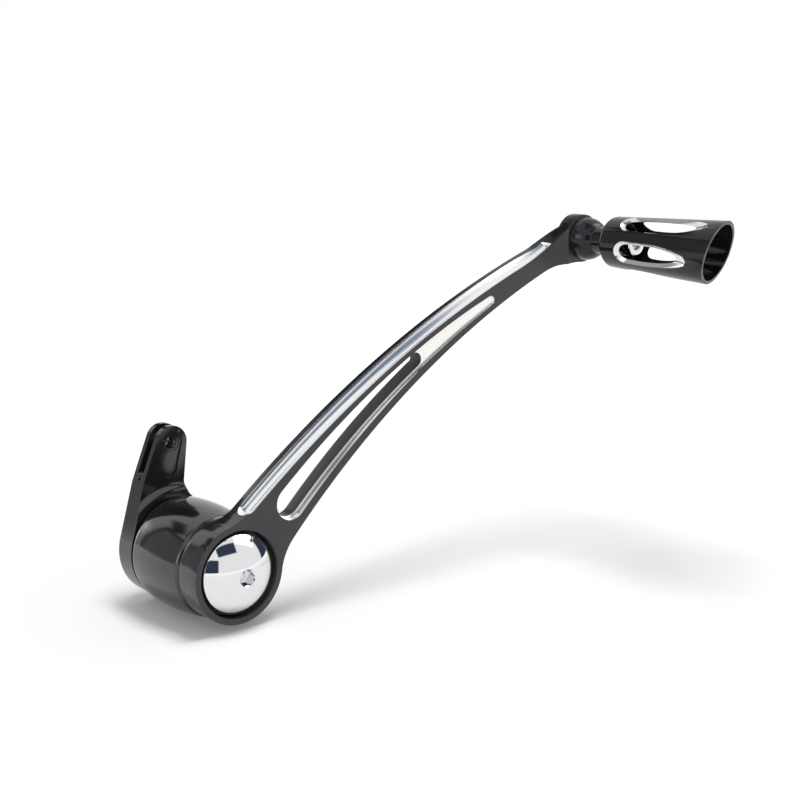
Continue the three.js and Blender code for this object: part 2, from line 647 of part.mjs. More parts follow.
function toePeg() {
  const reach = PEG_LENGTH + PEG_SLANT + 6;
  const floor = -PEG_BASE - PEG_FLOOR;
  const base = PEG_BASE_RADIUS;
  const shell = turned([
    [0, -PEG_BASE - reach], [pegRadius(reach), -PEG_BASE - reach], [base, -PEG_BASE - PEG_EDGE],
    [base - 0.13 * PEG_EDGE, -PEG_BASE - 0.5 * PEG_EDGE],
    [base - 0.5 * PEG_EDGE, -PEG_BASE - 0.13 * PEG_EDGE], [base - PEG_EDGE, -PEG_BASE], [0, -PEG_BASE],
  ]);
  const hollow = turned([
    [0, -PEG_BASE - reach - 1], [pegRadius(reach) - PEG_WALL, -PEG_BASE - reach - 1],
    [pegRadius(PEG_FLOOR) - PEG_WALL, floor], [0, floor],
  ]);
  const slots = [];
  for (let i = 0; i < PEG_SLOTS; i += 1) {
    const angle = PEG_SLOT_ANGLE + (i * 360 * DEG) / PEG_SLOTS;
    const length = PEG_SLOT_MEAN + PEG_SLOT_VARIATION * Math.cos(angle - PEG_SLANT_ANGLE);
    slots.push(pegSlotCutter(angle, length));
  }
  const hole = rod(PEG_SCREW_HOLE, -PEG_BASE + 1, floor - 1, COARSE);
  return subtractAll(shell, [hollow, hole, pegEndCutter(), ...slots]);
}

function pegScrew() {
  const seat = PEG_BASE + PEG_FLOOR + GAP + PEG_WASHER + GAP;
  const length = seat + BOSS_BACK - 1;
  return socketScrew(PEG_SCREW, length, PEG_SCREW_HEAD, PEG_SCREW_HEIGHT, PEG_SCREW_HEX)
    .rotate([180, 0, 0]).translate([0, -seat, 0]);
}

function pegWasher() {
  const front = -PEG_BASE - PEG_FLOOR - GAP;
  return tube(PEG_SCREW_HOLE, PEG_WASHER_RADIUS, front - PEG_WASHER, front, COARSE);
}

// ------------------------------------------------------------------ assembly
const group = new THREE.Group();
group.name = "foot_control_lever";

function add(name, solid, finish, place = [0, 0, 0]) {
  const material = new THREE.MeshStandardMaterial(FINISHES[finish]);
  const mesh = new THREE.Mesh(toGeometry(solid), material);
  mesh.name = name;
  mesh.position.set(...place);
  group.add(mesh);
}

function addPivot() {
  add("pivot_shaft", pivotShaft(), "steel");
  add("cap_screw", capScrew(), "chrome");
  const washer = (y) => tube(SHAFT_RADIUS + GAP, WASHER_RADIUS, y, y + 1, 36);
  const floor = FACE + RECESS_DEPTH;
  add("wave_washer", waveWasher(floor - 2.7, 0.5, 0.2), "steel");
  add("thrust_washer_outboard", washer(floor - 1.3), "bronze");
  const inboard = CLEVIS_BACK + GAP;
  add(
    "thrust_washer_inboard",
    tube(SHAFT_RADIUS + GAP, WASHER_RADIUS, inboard, inboard + THRUST_WASHER, 36),
    "bronze",
  );
}

function addLever() {
  add("arm", arm(), "blackSatin");
  add("barrel", barrel(), "blackGloss");
  add("clevis_lever", clevisLever(), "blackGloss");
  const sealCentre = SEAL_CORD + 0.2;
  const bushStart = 2 * SEAL_CORD + 2 * GAP;
  const bush = (y) => tube(SHAFT_RADIUS + FIT, BUSH_OUTER, y, y + BUSH_LENGTH, FINE);
  add("bush_outboard", bush(BARREL_FRONT + bushStart), "bronze");
  add("bush_inboard", bush(BARREL_BACK - bushStart - BUSH_LENGTH), "bronze");
  add("seal_outboard", seal(BARREL_FRONT + sealCentre), "rubber");
  add("seal_inboard", seal(BARREL_BACK - sealCentre), "rubber");
  onCircle(SCREW_ANGLES, SCREW_CIRCLE).forEach(([x, z], i) => {
    add(`hub_screw_${i + 1}`, hubScrew(), "steel", [x, 0, z]);
  });
  onCircle(DOWEL_ANGLES, SCREW_CIRCLE).forEach(([x, z], i) => {
    add(`arm_dowel_${i + 1}`, dowel(BARREL_FRONT - GAP / 2), "steel", [x, 0, z]);
    add(`clevis_dowel_${i + 1}`, dowel(BARREL_BACK + GAP / 2), "steel", [x, 0, z]);
  });
}

function addPeg() {
  add("peg_standoff", pegStandoff(), "blackGloss", PEG_PLACE);
  add("toe_peg", toePeg(), "blackGloss", PEG_PLACE);
  add("peg_screw", pegScrew(), "chrome", PEG_PLACE);
  add("peg_washer", pegWasher(), "steel", PEG_PLACE);
}

addPivot();
addLever();
addPeg();

export default group;
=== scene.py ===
"""Looks of a motorcycle foot lever: fine meshes and finishes round the CAD frame.

Shapes are worked out in millimetres and written to the meshes in metres. X is
forward, towards the toe peg, +Z is up and -Y is outboard.
"""

import math

import bpy
import bmesh
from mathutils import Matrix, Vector


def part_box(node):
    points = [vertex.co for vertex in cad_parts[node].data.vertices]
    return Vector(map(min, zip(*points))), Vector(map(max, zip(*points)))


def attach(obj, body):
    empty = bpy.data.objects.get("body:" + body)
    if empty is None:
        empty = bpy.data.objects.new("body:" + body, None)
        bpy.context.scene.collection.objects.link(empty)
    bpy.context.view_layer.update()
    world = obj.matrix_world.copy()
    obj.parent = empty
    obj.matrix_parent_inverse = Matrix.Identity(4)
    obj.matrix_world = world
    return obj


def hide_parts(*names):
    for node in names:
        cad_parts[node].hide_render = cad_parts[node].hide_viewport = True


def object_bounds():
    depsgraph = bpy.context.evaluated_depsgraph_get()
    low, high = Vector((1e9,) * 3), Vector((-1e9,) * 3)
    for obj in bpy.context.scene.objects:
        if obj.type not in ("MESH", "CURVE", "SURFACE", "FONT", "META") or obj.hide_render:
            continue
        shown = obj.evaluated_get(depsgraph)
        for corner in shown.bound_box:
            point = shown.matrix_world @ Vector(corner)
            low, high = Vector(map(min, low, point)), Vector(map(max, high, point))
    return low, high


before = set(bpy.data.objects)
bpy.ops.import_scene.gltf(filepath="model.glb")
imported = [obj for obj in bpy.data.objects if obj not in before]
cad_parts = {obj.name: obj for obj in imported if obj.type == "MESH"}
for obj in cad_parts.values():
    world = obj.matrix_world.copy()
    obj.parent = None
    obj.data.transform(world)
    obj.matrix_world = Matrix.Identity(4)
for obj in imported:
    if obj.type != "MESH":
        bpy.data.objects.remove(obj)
cad_low, cad_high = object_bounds()

MM = 0.001
FINE = 128  # facets of a large circle
MEDIUM = 64
GAP = 0.3  # between touching pieces
PAST = 1  # how far a cutter reaches past the metal


def cad_box(node):
    """Lowest and highest corner of a CAD node, in millimetres."""
    low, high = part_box(node)
    return low / MM, high / MM


# ------------------------------------------------------------------ dimensions
ARM_LOW, ARM_HIGH = cad_box("arm")
BARREL_LOW, BARREL_HIGH = cad_box("barrel")
CLEVIS_LOW, CLEVIS_HIGH = cad_box("clevis_lever")
SHAFT_LOW, SHAFT_HIGH = cad_box("pivot_shaft")
CAP_LOW, CAP_HIGH = cad_box("cap_screw")
STANDOFF_LOW, STANDOFF_HIGH = cad_box("peg_standoff")
_, PEG_HIGH = cad_box("toe_peg")

BOSS_PROUD = 6  # the arm's end sweeps this far outboard
BOSS_BACK = 2  # the boss's back, inboard of the arm's face
FACE = ARM_LOW.y + BOSS_PROUD  # outboard face of the ring and arm
RING_BACK = ARM_HIGH.y
ARM_THICKNESS = 14

# circles are (x, z, radius)
RING = (0, 0, 26.4)
BOSS = (239.9, 155, 13.8)
TOP_EDGE = (428.3, -472.3, 657.2)
BOTTOM_EDGE = (406.1, -336.9, 510.7)
RING_TOP_FILLET = 34
RING_BOTTOM_FILLET = 30
BOSS_TOP_FILLET = 28
BOSS_BOTTOM_FILLET = 45
SWEEP_START = 214
SWEEP_END = 228
RECESS_RADIUS = 23.2
RECESS_DEPTH = 8.8
HUB_HOLE = 10.2

FLUTE_RADIUS = 6.5
FLUTE_AXIS_DEPTH = 4.35  # from the outboard face
FLUTE_AXIS_HEIGHT = 3.2  # above the top edge
FLUTE_START = math.radians(129.7)
FLUTE_END = math.radians(108.4)
FLUTE_RUNOUT = 28  # length over which the tool leaves the metal

POCKET_TOP = (350.9, -332.2, 492.7)
POCKET_BOTTOM = (393.1, -327.2, 499.4)
POCKET_HEEL = 9.25
POCKET_TIP = 2.85
POCKET_DEPTH_HEEL = 4.6
POCKET_DEPTH_TIP = 0.9
POCKET_CORNER = 1.3
SLOT_TOP = (349.2, -332.2, 490.8)
SLOT_BOTTOM = (394.8, -327.2, 501.5)
SLOT_HEEL = 8.4
SLOT_TIP = 4.15
BACK_RELIEF = 2.6  # depth of the recess round the slot, in the arm's back

BARREL_RADIUS_INBOARD = 28.4
BARREL_RADIUS_OUTBOARD = 27
BARREL_CROWN = 1.8
ROUND_OUTBOARD = (2.4, 2.4)  # along the barrel and inward
ROUND_INBOARD = (5.5, 2.8)
BARREL_BORE = 12.65

CAP_RADIUS = CAP_HIGH.x
CAP_SHOULDER = 0.45
CAP_SUNK = 0.8
CAP_RISE = FACE + CAP_SUNK - CAP_LOW.y
CAP_SKIRT = 4.7
CAP_HEX = 8
CAP_HEX_DEPTH = 6
CAP_COUNTERSINK = 5.1

EAR = (-0.3, 57.4, 9.2)
EAR_THICKNESS = 3.2
EAR_SET_BACK = 1.2
EAR_STEP_INNER = 30.5
EAR_STEP_OUTER = 36
CLEVIS_KNEE = (-18.4, 37.5)
CLEVIS_WAIST = 6.4
CLEVIS_FILLET = 14
CLEVIS_SLOT_FLOOR = 41
CLEVIS_PIN_RADIUS = 3.25
CLEVIS_PIN_RIM = 1.6  # width of the sunk rim round the pin hole
CLEVIS_PIN_RIM_DEPTH = 0.35
EAR_POCKET_HALF = 6.4
EAR_POCKET_DEPTH = 0.8
EAR_POCKET_DROP = 12
EAR_POCKET_LEAN = 0.26  # the recess leans back by this part of its drop

SCREW_CIRCLE = 19.5
SCREW_ANGLES = (45, 135, 225, 315)
SCREW_SHANK = 2.5
SCREW_HEAD = 4.25
SCREW_HEAD_HEIGHT = 5
SCREW_HEX = 4

BALL_RADIUS = STANDOFF_HIGH.x - BOSS[0]
BALL_CENTRE = 9.5
NECK_RADIUS = 7.7
PEG_BASE = FACE - PEG_HIGH.y
PEG_LENGTH = 73.6
PEG_BASE_RADIUS = 14.5
PEG_END_RADIUS = 17.5
PEG_WALL = 2
PEG_FLOOR = 6.5
PEG_EDGE = 2.6
PEG_SLANT = 7.5  # the oblique end runs this far either way
PEG_SLANT_ANGLE = math.radians(130)
PEG_SLOTS = 5
PEG_SLOT_ANGLE = math.radians(122)
PEG_SLOT_START = 20
PEG_SLOT_MEAN = 37
PEG_SLOT_VARIATION = 14.3
SLOT_CUTTER = 10.3
SLOT_CUTTER_OFFSET = 21.9
PEG_SCREW = 4
PEG_SCREW_HOLE = 4.15
PEG_SCREW_HEAD = 6.5
PEG_SCREW_HEIGHT = 8
PEG_SCREW_HEX = 6


# ------------------------------------------------------------------- materials
class Nodes:
    """Short ways to add nodes to a tree."""

    def __init__(self, tree):
        self.tree = tree

    def add(self, kind, **settings):
        node = self.tree.nodes.new(kind)
        for key, value in settings.items():
            setattr(node, key, value)
        return node

    def link(self, source, target):
        self.tree.links.new(source, target)

    def feed(self, socket, value):
        """Sets an input to a number or a colour, or links it to another node's output."""
        if isinstance(value, (int, float)):
            socket.default_value = value
        elif isinstance(value, tuple):
            socket.default_value = (*value, 1)
        else:
            self.link(value, socket)

    def math(self, operation, *values):
        node = self.add("ShaderNodeMath", operation=operation)
        for socket, value in zip(node.inputs, values):
            self.feed(socket, value)
        return node.outputs[0]

    def dot(self, place, direction):
        node = self.add("ShaderNodeVectorMath", operation="DOT_PRODUCT")
        self.link(place, node.inputs[0])
        node.inputs[1].default_value = direction
        return node.outputs["Value"]

    def map_range(self, value, start, end, low, high, kind="LINEAR"):
        """Goes from low, at start, to high, at end."""
        node = self.add("ShaderNodeMapRange", interpolation_type=kind)
        self.link(value, node.inputs["Value"])
        for socket, number in (("From Min", start), ("From Max", end), ("To Min", low), ("To Max", high)):
            node.inputs[socket].default_value = number
        return node.outputs["Result"]

    def smooth_range(self, *values):
        return self.map_range(*values, kind="SMOOTHSTEP")

    def mix(self, factor, start, end):
        """A colour between two, each a colour or another node's output."""
        node = self.add("ShaderNodeMix", data_type="RGBA")
        self.link(factor, node.inputs["Factor"])
        self.feed(node.inputs["A"], start)
        self.feed(node.inputs["B"], end)
        return node.outputs["Result"]


class Shader(Nodes):
    """A new material, with the patterns that the finishes share."""

    def __init__(self, name, metallic, roughness, colour):
        self.material = bpy.data.materials.new(name)
        self.material.use_nodes = True
        super().__init__(self.material.node_tree)
        self.surface = self.tree.nodes["Principled BSDF"]
        self.surface.inputs["Metallic"].default_value = metallic
        self.surface.inputs["Roughness"].default_value = roughness
        self.surface.inputs["Base Color"].default_value = (*colour, 1)
        self.position = self.add("ShaderNodeTexCoord").outputs["Object"]

    def polar(self, centre):
        """Distance from an axis along Y through (x, z) in metres, the angle round it, and y."""
        split = self.add("ShaderNodeSeparateXYZ")
        self.link(self.position, split.inputs[0])
        x = self.math("SUBTRACT", split.outputs["X"], centre[0] * MM)
        z = self.math("SUBTRACT", split.outputs["Z"], centre[1] * MM)
        radius = self.math("SQRT", self.math("ADD", self.math("POWER", x, 2.0), self.math("POWER", z, 2.0)))
        return radius, self.math("ARCTAN2", z, x), split.outputs["Y"]

    def vector(self, x, y, z):
        node = self.add("ShaderNodeCombineXYZ")
        for socket, value in zip(node.inputs, (x, y, z)):
            self.link(value, socket)
        return node.outputs[0]

    def streaks(self, centre, across=9000, along=12, detail=3.0):
        """Fine lines that run round an axis along Y, as a cutter leaves them."""
        radius, angle, y = self.polar(centre)
        place = self.vector(
            self.math("MULTIPLY", radius, across),
            self.math("MULTIPLY", angle, along),
            self.math("MULTIPLY", y, across),
        )
        return self.noise(1.0, place, detail)

    def noise(self, scale, vector=None, detail=4.0):
        node = self.add("ShaderNodeTexNoise")
        node.inputs["Scale"].default_value = scale
        node.inputs["Detail"].default_value = detail
        self.link(vector or self.position, node.inputs["Vector"])
        return node.outputs["Fac"]

    def tint(self, factor, dark, light):
        self.link(self.mix(factor, dark, light), self.surface.inputs["Base Color"])

    def rough(self, pattern, low, high):
        """Roughness from a noise pattern, most of which lies between a quarter and three quarters."""
        self.link(self.map_range(pattern, 0.25, 0.75, low, high), self.surface.inputs["Roughness"])

    def bump(self, height, strength, distance):
        node = self.add("ShaderNodeBump")
        node.inputs["Strength"].default_value = strength
        node.inputs["Distance"].default_value = distance * MM
        self.link(height, node.inputs["Height"])
        self.link(node.outputs["Normal"], self.surface.inputs["Normal"])


def satin_black():
    """Bead-blasted and black anodised: a fine even grain and a soft sheen."""
    shader = Shader("satin_black", 0.0, 0.42, (0.05, 0.046, 0.05))
    shader.surface.inputs["Specular IOR Level"].default_value = 0.3
    grain = shader.noise(5200, detail=2.0)
    cloud = shader.noise(60, detail=5.0)
    shader.tint(cloud, (0.044, 0.04, 0.044), (0.058, 0.053, 0.057))
    both = shader.math("ADD", shader.math("MULTIPLY", grain, 0.5), shader.math("MULTIPLY", cloud, 0.5))
    shader.rough(both, 0.36, 0.48)
    shader.bump(grain, 0.2, 0.02)
    return shader.material


def gloss_black(name, centre, rough=0.1, shine=0.5):
    """Polished, then black anodised: faint turning lines and long soft ripples."""
    shader = Shader(name, 0.0, rough, (0.008, 0.008, 0.01))
    shader.surface.inputs["Specular IOR Level"].default_value = shine
    lines = shader.streaks(centre, across=7000, along=3)
    cloud = shader.noise(90, detail=6.0)
    shader.tint(cloud, (0.006, 0.006, 0.008), (0.012, 0.0115, 0.014))
    both = shader.math("ADD", shader.math("MULTIPLY", lines, 0.6), shader.math("MULTIPLY", cloud, 0.4))
    shader.rough(both, rough - 0.02, rough + 0.06)
    shader.bump(lines, 0.08, 0.008)
    return shader.material


def arm_edge():
    """The arm's black edges: polished round the pivot, and duller along the bar."""
    near, far = 0.032, 0.062  # distances from the pivot axis between which it changes, in metres
    material = gloss_black("arm_edge", (0, 0), rough=0.12)
    nodes = Nodes(material.node_tree)
    place = nodes.add("ShaderNodeTexCoord").outputs["Object"]
    flat = nodes.add("ShaderNodeVectorMath", operation="MULTIPLY")
    nodes.link(place, flat.inputs[0])
    flat.inputs[1].default_value = (1, 0, 1)
    distance = nodes.add("ShaderNodeVectorMath", operation="LENGTH")
    nodes.link(flat.outputs["Vector"], distance.inputs[0])
    shine = nodes.smooth_range(distance.outputs["Value"], near, far, 0.9, 0.12)
    nodes.link(shine, nodes.tree.nodes["Principled BSDF"].inputs["Specular IOR Level"])
    return material


def bright_cut(name, centre, along=14, tone=(0.92, 0.92, 0.925), rough=0.16):
    """Machined aluminium left bright: fine lines along the cutter's path."""
    shader = Shader(name, 1.0, rough, tone)
    lines = shader.streaks(centre, across=16000, along=along, detail=2.0)
    broad = shader.streaks(centre, across=2500, along=along / 3, detail=2.0)
    shader.tint(broad, tuple(0.96 * part for part in tone), tuple(min(1.0, 1.03 * part) for part in tone))
    shader.rough(lines, rough - 0.05, rough + 0.06)
    shader.bump(lines, 0.035, 0.01)
    return shader.material


def chrome(name, centre):
    """Mirror plate, with the faintest of polishing lines."""
    shader = Shader(name, 1.0, 0.03, (0.76, 0.77, 0.785))
    lines = shader.streaks(centre, across=5000, along=4)
    cloud = shader.noise(140, detail=5.0)
    shader.tint(cloud, (0.74, 0.75, 0.77), (0.8, 0.805, 0.815))
    shader.rough(lines, 0.015, 0.04)
    shader.bump(cloud, 0.015, 0.04)
    return shader.material


def turned_metal(name, dark, light, rough_low, rough_high):
    """Bare metal off the lathe, with rings round the pivot axis."""
    shader = Shader(name, 1.0, (rough_low + rough_high) / 2, light)
    lines = shader.streaks((0, 0), across=6500, along=2)
    cloud = shader.noise(220, detail=6.0)
    shader.tint(cloud, dark, light)
    shader.rough(lines, rough_low, rough_high)
    shader.bump(lines, 0.3, 0.015)
    return shader.material


def seal_rubber():
    shader = Shader("seal_rubber", 0.0, 0.7, (0.02, 0.02, 0.02))
    cloud = shader.noise(900, detail=6.0)
    shader.tint(cloud, (0.014, 0.014, 0.014), (0.03, 0.03, 0.03))
    shader.rough(cloud, 0.6, 0.85)
    shader.bump(cloud, 0.3, 0.03)
    return shader.material


def floor_paper(middle):
    """Matte white sweep, lit from behind more and more with the distance from the object."""
    shader = Shader("floor_paper", 0.0, 0.9, (0.86, 0.86, 0.86))
    shader.surface.inputs["Specular IOR Level"].default_value = 0.0
    shader.surface.inputs["Emission Color"].default_value = (1, 1, 1, 1)
    away = shader.add("ShaderNodeVectorMath", operation="DISTANCE")
    shader.link(shader.position, away.inputs[0])
    away.inputs[1].default_value = middle
    glow = shader.smooth_range(away.outputs["Value"], 0.15, 1.0, 0.11, 0.6)
    shader.link(glow, shader.surface.inputs["Emission Strength"])
    return shader.material


SATIN = satin_black()
ARM_EDGE = arm_edge()
GLOSS = gloss_black("gloss_black", (0, 0), shine=0.9)
PEG_GLOSS = gloss_black("gloss_black_peg", BOSS, shine=0.35)
FLUTE_CUT = bright_cut("bright_flute", TOP_EDGE, along=90, rough=0.19)
POCKET_CUT = bright_cut("bright_pocket", POCKET_TOP, along=70, tone=(0.79, 0.775, 0.75))
# the peg's slot faces: the flute's bright cut with its tone darkened, as painted shade on them
SHADED_PEG_CUT = bright_cut("bright_peg_slot_painted_shade", BOSS, tone=(0.76, 0.76, 0.77))
CHROME = chrome("chrome", (0, 0))
PEG_CHROME = chrome("chrome_peg", BOSS)
STEEL = turned_metal("steel", (0.42, 0.42, 0.44), (0.62, 0.62, 0.64), 0.22, 0.38)
BRONZE = turned_metal("bronze", (0.4, 0.26, 0.1), (0.62, 0.43, 0.19), 0.3, 0.5)
RUBBER = seal_rubber()


# --------------------------------------------------------------- mesh building
def outward(piece):
    """Turns the faces outward."""
    work = bmesh.new()
    work.from_mesh(piece.data)
    bmesh.ops.recalc_face_normals(work, faces=work.faces)
    work.to_mesh(piece.data)
    work.free()
    return piece


def new_object(name, vertices, faces, material):
    """A mesh object from millimetre vertices, with its faces turned outward."""
    mesh = bpy.data.meshes.new(name)
    mesh.from_pydata([Vector(v) * MM for v in vertices], [], faces)
    mesh.materials.append(material)
    piece = outward(bpy.data.objects.new(name, mesh))
    bpy.context.scene.collection.objects.link(piece)
    return piece


def around(radius, angle, centre=(0, 0)):
    """The (x, z) point at a distance and an angle from a centre."""
    return (centre[0] + radius * math.cos(angle), centre[1] + radius * math.sin(angle))


def rounded(*corners, steps=6):
    """A profile of (radius, y) points from corners of (radius, y, fillet)."""
    points = []
    for i, (radius, y, fillet) in enumerate(corners):
        corner = Vector((radius, y))
        if not fillet:
            points.append(corner)
            continue
        before = (Vector(corners[i - 1][:2]) - corner).normalized()
        after = (Vector(corners[(i + 1) % len(corners)][:2]) - corner).normalized()
        half = before.angle(after) / 2
        centre = corner + (before + after).normalized() * fillet / math.sin(half)
        ends = [corner + side * fillet / math.tan(half) - centre for side in (before, after)]
        start, stop = (math.atan2(end.y, end.x) for end in ends)
        turn = (stop - start + math.pi) % (2 * math.pi) - math.pi
        for k in range(steps + 1):
            angle = start + turn * k / steps
            points.append(centre + fillet * Vector((math.cos(angle), math.sin(angle))))
    return points


def turned(name, profile, material, centre=(0, 0), facets=FINE):
    """A solid of revolution about Y through centre. The profile closes on itself or on the axis."""
    vertices, rings = [], []
    for radius, y in profile:
        if abs(radius) < 1e-6:
            rings.append([len(vertices)])
            vertices.append((centre[0], y, centre[1]))
            continue
        rings.append(range(len(vertices), len(vertices) + facets))
        for k in range(facets):
            x, z = around(radius, 2 * math.pi * k / facets, centre)
            vertices.append((x, y, z))
    faces = []
    for i, ring in enumerate(rings):
        following = rings[(i + 1) % len(rings)]
        if len(ring) == 1 and len(following) == 1:
            continue
        for k in range(facets):
            corners = [ring[k % len(ring)], ring[(k + 1) % len(ring)],
                       following[(k + 1) % len(following)], following[k % len(following)]]
            faces.append(list(dict.fromkeys(corners)))
    return new_object(name, vertices, faces, material)


def prism(name, first, last, material):
    """A solid between two copies of one outline, each a list of points."""
    count = len(first)
    sides = [(i, (i + 1) % count, count + (i + 1) % count, count + i) for i in range(count)]
    caps = [tuple(range(count)), tuple(range(2 * count - 1, count - 1, -1))]
    return new_object(name, first + last, sides + caps, material)


def extruded(name, outline, low, high, material):
    """An outline of (x, z) points carried along Y."""
    return prism(name, *([(x, y, z) for x, z in outline] for y in (low, high)), material)


def bake(piece):
    """Applies a piece's modifiers."""
    graph = bpy.context.evaluated_depsgraph_get()
    mesh = bpy.data.meshes.new_from_object(piece.evaluated_get(graph))
    piece.modifiers.clear()
    piece.data = mesh


def combine(piece, other, operation="DIFFERENCE"):
    """Cuts or joins with another object, which is used up. Cut faces take the cutter's material."""
    modifier = piece.modifiers.new("combine", "BOOLEAN")
    modifier.operation = operation
    modifier.object = other
    modifier.solver = "EXACT"
    modifier.material_mode = "TRANSFER"
    bake(piece)
    bpy.data.objects.remove(other)


def soften(piece, width, segments=3, angle=32):
    """Rounds every edge that is sharper than the angle."""
    modifier = piece.modifiers.new("soften", "BEVEL")
    modifier.width = width * MM
    modifier.segments = segments
    modifier.limit_method = "ANGLE"
    modifier.angle_limit = math.radians(angle)
    modifier.use_clamp_overlap = True
    modifier.miter_outer = "MITER_ARC"
    bake(piece)


def shade(piece, angle=30):
    """Smooth shading, with creases where faces meet at more than the angle."""
    piece.data.shade_smooth()
    piece.data.set_sharp_from_angle(angle=math.radians(angle))


def present(piece, body, slot, *nodes, angle=30):
    """Finishes a piece: shading, the body it rides on and the CAD nodes it stands for."""
    shade(piece, angle)
    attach(piece, body)
    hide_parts(*nodes)


def hexagon(across_flats, y_a, y_b, material, centre=(0, 0)):
    radius = across_flats / 2 / math.cos(math.radians(30))
    profile = [(0, y_a), (radius, y_a), (radius, y_b), (0, y_b)]
    return turned("hexagon", profile, material, centre, facets=6)


def rod(radius, y_a, y_b, material, centre=(0, 0), facets=MEDIUM):
    return turned("rod", [(0, y_a), (radius, y_a), (radius, y_b), (0, y_b)], material, centre, facets)


# -------------------------------------------------------------- flat outlines
def meeting(first, first_distance, second, second_distance, side):
    """Centre of a circle at given distances from two others; side is +1 to the left."""
    dx, dz = second[0] - first[0], second[1] - first[1]
    span = math.hypot(dx, dz)
    along = (first_distance ** 2 - second_distance ** 2 + span ** 2) / (2 * span)
    across = side * math.sqrt(first_distance ** 2 - along ** 2)
    return (first[0] + (along * dx - across * dz) / span, first[1] + (along * dz + across * dx) / span)


def heading(start, end):
    return math.atan2(end[1] - start[1], end[0] - start[0])


def arc(circle, start, end, clockwise=False, spacing=1.2):
    """Points on a circle (x, z, radius), without the last one."""
    radius = circle[2]
    turn = (end - start) % (2 * math.pi)
    if clockwise:
        turn -= 2 * math.pi
    steps = max(4, round(abs(turn) * radius / spacing))
    return [around(radius, start + turn * k / steps, circle) for k in range(steps)]


def crescent(top, bottom, heel_radius, tip_radius, spacing=1.5):
    """A long curved outline between two big circles, with a round at each end."""
    def end(radius):
        return (*meeting(bottom, bottom[2] + radius, top, top[2] - radius, -1), radius)
    heel, tip = end(heel_radius), end(tip_radius)
    outline = arc(bottom, heading(bottom, heel), heading(bottom, tip), True, spacing)
    outline += arc(tip, heading(tip, bottom), heading(top, tip), False, spacing / 3)
    outline += arc(top, heading(top, tip), heading(top, heel), False, spacing)
    outline += arc(heel, heading(top, heel), heading(heel, bottom), False, spacing / 2)
    return outline, heel, tip


# ------------------------------------------------------------------------- arm
def arm_outline():
    def fillet(big, big_distance, small, radius, side):
        return (*meeting(big, big_distance, small, small[2] + radius, side), radius)
    ring_bottom = fillet(BOTTOM_EDGE, BOTTOM_EDGE[2] - RING_BOTTOM_FILLET, RING, RING_BOTTOM_FILLET, -1)
    boss_bottom = fillet(BOTTOM_EDGE, BOTTOM_EDGE[2] - BOSS_BOTTOM_FILLET, BOSS, BOSS_BOTTOM_FILLET, 1)
    boss_top = fillet(TOP_EDGE, TOP_EDGE[2] + BOSS_TOP_FILLET, BOSS, BOSS_TOP_FILLET, 1)
    ring_top = fillet(TOP_EDGE, TOP_EDGE[2] + RING_TOP_FILLET, RING, RING_TOP_FILLET, -1)
    outline = arc(ring_bottom, heading(ring_bottom, RING), heading(BOTTOM_EDGE, ring_bottom), True)
    outline += arc(BOTTOM_EDGE, heading(BOTTOM_EDGE, ring_bottom), heading(BOTTOM_EDGE, boss_bottom), True)
    outline += arc(boss_bottom, heading(BOTTOM_EDGE, boss_bottom), heading(boss_bottom, BOSS), True)
    outline += arc(BOSS, heading(BOSS, boss_bottom), heading(BOSS, boss_top), False, 0.8)
    outline += arc(boss_top, heading(boss_top, BOSS), heading(boss_top, TOP_EDGE), True)
    outline += arc(TOP_EDGE, heading(TOP_EDGE, boss_top), heading(TOP_EDGE, ring_top), False)
    outline += arc(ring_top, heading(ring_top, TOP_EDGE), heading(ring_top, RING), True)
    outline += arc(RING, heading(RING, ring_top), heading(RING, ring_bottom), False, 1.0)
    return outline


def bezier(*controls, steps=14):
    """Points on a cubic curve, without the first one."""
    a, b, c, d = (Vector(p) for p in controls)
    points = []
    for k in range(1, steps + 1):
        t = k / steps
        s = 1 - t
        points.append(tuple(a * s ** 3 + b * 3 * s * s * t + c * 3 * s * t * t + d * t ** 3))
    return points


def side_profile():
    """The arm from above, in X and Y: a bar whose end sweeps outboard to the boss."""
    behind, beyond, reach = -40, 270, 200  # all of them outside the arm

    def sweep(y_start, y_end):
        span = SWEEP_END - SWEEP_START
        first = (SWEEP_START + 0.55 * span, y_start)
        second = (SWEEP_START + 0.85 * span, y_start + 0.4 * (y_end - y_start))
        return [(SWEEP_START, y_start), first, second, (SWEEP_END, y_end)]
    front = bezier(*sweep(0, -BOSS_PROUD))
    back = bezier(*reversed(sweep(ARM_THICKNESS, BOSS_BACK)))
    outline = [(behind, 0), (SWEEP_START, 0), *front, (beyond, -BOSS_PROUD), (beyond, BOSS_BACK),
               (SWEEP_END, BOSS_BACK), *back, (behind, ARM_THICKNESS)]
    ends = ([(x, FACE + y, z) for x, y in outline] for z in (-reach, reach))
    return prism("side_profile", *ends, SATIN)


def flute_cutter():
    """A ball-ended tool's path along the top edge, climbing out of the metal at the far end."""
    length = (FLUTE_START - FLUTE_END) * TOP_EDGE[2]
    rows = 90  # of points along the path
    stations = [(FLUTE_RADIUS * math.cos(a), FLUTE_RADIUS * math.sin(a))
                for a in (math.radians(-90 + 7.5 * k) for k in range(1, 12))]
    stations += [(FLUTE_RADIUS, length * k / rows) for k in range(rows + 1)]
    profile = [(0, -FLUTE_RADIUS), *stations, (0, length)]
    cutter = turned("flute_cutter", profile, FLUTE_CUT)
    for vertex in cutter.data.vertices:
        across, along, up = vertex.co.x / MM, vertex.co.y / MM, vertex.co.z / MM
        runout = max(0.0, along - length + FLUTE_RUNOUT) / FLUTE_RUNOUT
        lift = FLUTE_AXIS_HEIGHT + (FLUTE_RADIUS - FLUTE_AXIS_HEIGHT) * runout ** 2
        angle = FLUTE_START - along / TOP_EDGE[2]
        x, z = around(TOP_EDGE[2] + lift + up, angle, TOP_EDGE)
        vertex.co = Vector((x, FACE + FLUTE_AXIS_DEPTH + across, z)) * MM
    return outward(cutter)


